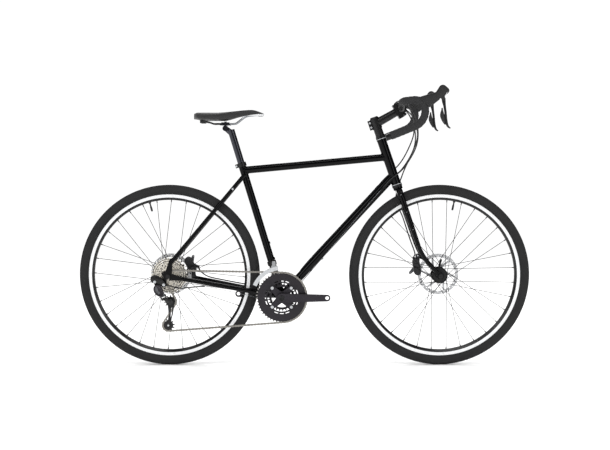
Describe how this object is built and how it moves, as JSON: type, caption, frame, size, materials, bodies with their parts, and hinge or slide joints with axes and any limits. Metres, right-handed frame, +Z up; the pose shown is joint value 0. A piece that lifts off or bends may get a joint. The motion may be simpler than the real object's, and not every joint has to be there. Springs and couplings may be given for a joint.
{
  "type": "touring bicycle",
  "caption": "Drop-bar touring bicycle with a steel frame, disc brakes, spoked wheels, a triple chainset and wide-range derailleur gears.",
  "frame": {"origin": "on the ground, midway between the two axles, on the frame's middle plane", "axes": "+X forward, +Y to the rider's left, +Z up; the chain is on the -Y side"},
  "size_m": [1.7558, 0.4618, 1.0793],
  "materials": {
    "frame_paint": "gloss black paint",
    "black_alloy": "black anodised",
    "grey_alloy": "dark grey anodised",
    "silver_alloy": "satin",
    "steel": "brushed",
    "rubber": "matte",
    "tyre": "matte",
    "tape": "soft grip",
    "cushion": "soft matte cover",
    "plastic": "matte"
  },
  "bodies": {
    "frame": {"head_tube": "frame_paint", "top_tube": "frame_paint", "down_tube": "frame_paint", "seat_tube": "frame_paint", "bottom_bracket": "frame_paint", "rear_stays": "frame_paint", "frame_fittings": "frame_paint", "seat_clamp": "black_alloy", "headset": "black_alloy", "frame_cables": "plastic", "rear_caliper": "black_alloy", "rear_axle": "steel", "front_derailleur_body": "black_alloy", "rear_derailleur_body": "black_alloy", "chain": "steel"},
    "seat": {"seatpost": "black_alloy", "saddle_clamp": "black_alloy", "saddle_rails": "steel", "saddle": "cushion"},
    "steering": {"fork": "frame_paint", "headset_spacers": "black_alloy", "stem": "black_alloy", "handlebar": "black_alloy", "bar_tape": "tape", "brake_hoods": "rubber", "bar_housings": "plastic", "front_caliper": "black_alloy", "front_axle": "steel"},
    "front_wheel": {"front_tyre": "tyre", "front_tube": "rubber", "front_rim": "silver_alloy", "front_spokes": "steel", "front_hub": "black_alloy", "front_rotor": "steel"},
    "rear_wheel": {"rear_tyre": "tyre", "rear_tube": "rubber", "rear_rim": "silver_alloy", "rear_spokes": "steel", "rear_hub": "black_alloy", "rear_rotor": "steel", "cassette": "steel"},
    "crankset": {"right_crank": "grey_alloy", "left_crank": "grey_alloy", "chainrings": "grey_alloy"},
    "front_shift_link": {"front_derailleur_link": "black_alloy"},
    "front_shift_cage": {"front_derailleur_cage": "silver_alloy"},
    "rear_shift_outer_link": {"derailleur_outer_link": "black_alloy"},
    "rear_shift_inner_link": {"derailleur_inner_link": "black_alloy"},
    "rear_shift_knuckle": {"derailleur_knuckle": "black_alloy"},
    "rear_shift_cage": {"derailleur_cage": "grey_alloy"},
    "guide_jockey": {"guide_pulley": "plastic"},
    "tension_jockey": {"tension_pulley": "plastic"},
    "right_lever": {"right_brake_lever": "grey_alloy"},
    "left_lever": {"left_brake_lever": "grey_alloy"},
    "right_paddle": {"right_shift_paddle": "grey_alloy"},
    "left_paddle": {"left_shift_paddle": "grey_alloy"},
    "front_brake_arm": {"front_caliper_arm": "silver_alloy"},
    "rear_brake_arm": {"rear_caliper_arm": "silver_alloy"},
    "front_skewer_lever": {"front_quick_release": "black_alloy"},
    "rear_skewer_lever": {"rear_quick_release": "black_alloy"}
  },
  "joints": [
    {"name": "steering_turn", "type": "hinge", "parent": "frame", "child": "steering", "pos_m": [0.32907, 0, 0.79185], "axis": [-0.3256, 0, 0.9455], "range_deg": [-70, 70], "deforming": ["bar_housings"]},
    {"name": "front_wheel_spin", "type": "hinge", "parent": "steering", "child": "front_wheel", "pos_m": [0.526, 0, 0.352], "axis": [0, 1, 0], "continuous": true},
    {"name": "rear_wheel_spin", "type": "hinge", "parent": "frame", "child": "rear_wheel", "pos_m": [-0.526, 0, 0.352], "axis": [0, 1, 0], "continuous": true, "deforming": ["chain"]},
    {"name": "crank_spin", "type": "hinge", "parent": "frame", "child": "crankset", "pos_m": [-0.0877, 0, 0.2695], "axis": [0, 1, 0], "continuous": true, "deforming": ["chain"]},
    {"name": "seatpost_slide", "type": "slide", "parent": "frame", "child": "seat", "axis": [-0.2924, 0, 0.9563], "range_m": [-0.1, 0.05]},
    {"name": "front_shift_swing", "type": "hinge", "parent": "frame", "child": "front_shift_link", "pos_m": [-0.11917, -0.027, 0.4026], "axis": [1, 0, 0], "range_deg": [0, 36], "stiffness_Nm_per_rad": 0.5, "springref_deg": -22.92, "deforming": ["chain"]},
    {"name": "front_shift_level", "type": "hinge", "parent": "front_shift_link", "child": "front_shift_cage", "pos_m": [-0.11917, -0.04539, 0.38717], "axis": [1, 0, 0], "range_deg": [-36, 0], "deforming": ["chain"]},
    {"name": "rear_shift_swing", "type": "hinge", "parent": "frame", "child": "rear_shift_outer_link", "pos_m": [-0.562, -0.082, 0.318], "axis": [0.9, 0.2739, 0.3391], "range_deg": [0, 46], "stiffness_Nm_per_rad": 0.6, "springref_deg": -34.38, "deforming": ["chain"]},
    {"name": "rear_shift_inner_swing", "type": "hinge", "parent": "frame", "child": "rear_shift_inner_link", "pos_m": [-0.56525, -0.0695, 0.31653], "axis": [0.9, 0.2739, 0.3391], "range_deg": [0, 46], "deforming": ["chain"]},
    {"name": "rear_shift_level", "type": "hinge", "parent": "rear_shift_outer_link", "child": "rear_shift_knuckle", "pos_m": [-0.54196, -0.1004, 0.27967], "axis": [0.9, 0.2739, 0.3391], "range_deg": [-46, 0], "deforming": ["chain"]},
    {"name": "cage_tension", "type": "hinge", "parent": "rear_shift_knuckle", "child": "rear_shift_cage", "pos_m": [-0.518, -0.075, 0.254], "axis": [0, 1, 0], "range_deg": [-20, 40], "stiffness_Nm_per_rad": 1.5, "deforming": ["chain"]},
    {"name": "guide_pulley_spin", "type": "hinge", "parent": "rear_shift_cage", "child": "guide_jockey", "pos_m": [-0.518, -0.058, 0.254], "axis": [0, 1, 0], "continuous": true, "deforming": ["chain"]},
    {"name": "tension_pulley_spin", "type": "hinge", "parent": "rear_shift_cage", "child": "tension_jockey", "pos_m": [-0.52651, -0.058, 0.16139], "axis": [0, 1, 0], "continuous": true, "deforming": ["chain"]},
    {"name": "right_brake_pull", "type": "hinge", "parent": "steering", "child": "right_lever", "pos_m": [0.51628, -0.215, 1.02557], "axis": [0, 1, 0], "range_deg": [0, 22], "stiffness_Nm_per_rad": 1.2, "springref_deg": -14.32},
    {"name": "left_brake_pull", "type": "hinge", "parent": "steering", "child": "left_lever", "pos_m": [0.51628, 0.215, 1.02557], "axis": [0, 1, 0], "range_deg": [0, 22], "stiffness_Nm_per_rad": 1.2, "springref_deg": -14.32},
    {"name": "right_shift_push", "type": "hinge", "parent": "right_lever", "child": "right_paddle", "pos_m": [0.51528, -0.215, 0.98957], "axis": [1, 0, 0], "range_deg": [0, 15], "stiffness_Nm_per_rad": 0.5, "springref_deg": -17.19},
    {"name": "left_shift_push", "type": "hinge", "parent": "left_lever", "child": "left_paddle", "pos_m": [0.51528, 0.215, 0.98957], "axis": [-1, 0, 0], "range_deg": [0, 15], "stiffness_Nm_per_rad": 0.5, "springref_deg": -17.19},
    {"name": "front_brake_arm_pull", "type": "hinge", "parent": "steering", "child": "front_brake_arm", "pos_m": [0.442, 0.064, 0.38], "axis": [0, 1, 0], "range_deg": [0, 25], "stiffness_Nm_per_rad": 0.6, "springref_deg": -17.19},
    {"name": "rear_brake_arm_pull", "type": "hinge", "parent": "frame", "child": "rear_brake_arm", "pos_m": [-0.45, 0.078, 0.388], "axis": [0, 1, 0], "range_deg": [0, 25], "stiffness_Nm_per_rad": 0.6, "springref_deg": -17.19},
    {"name": "front_skewer_release", "type": "hinge", "parent": "steering", "child": "front_skewer_lever", "pos_m": [0.526, 0.0641, 0.352], "axis": [-0.9659, 0, 0.2588], "range_deg": [0, 160]},
    {"name": "rear_skewer_release", "type": "hinge", "parent": "frame", "child": "rear_skewer_lever", "pos_m": [-0.526, 0.0816, 0.352], "axis": [-0.5736, 0, 0.8192], "range_deg": [0, 160]}
  ],
  "couplings": [
    {"joint": "crank_spin", "follows": "rear_wheel_spin", "ratio": 0.22917},
    {"joint": "guide_pulley_spin", "follows": "rear_wheel_spin", "ratio": -1},
    {"joint": "tension_pulley_spin", "follows": "rear_wheel_spin", "ratio": 1},
    {"joint": "front_shift_level", "follows": "front_shift_swing", "ratio": -1},
    {"joint": "rear_shift_inner_swing", "follows": "rear_shift_swing", "ratio": 1},
    {"joint": "rear_shift_level", "follows": "rear_shift_swing", "ratio": -1}
  ]
}
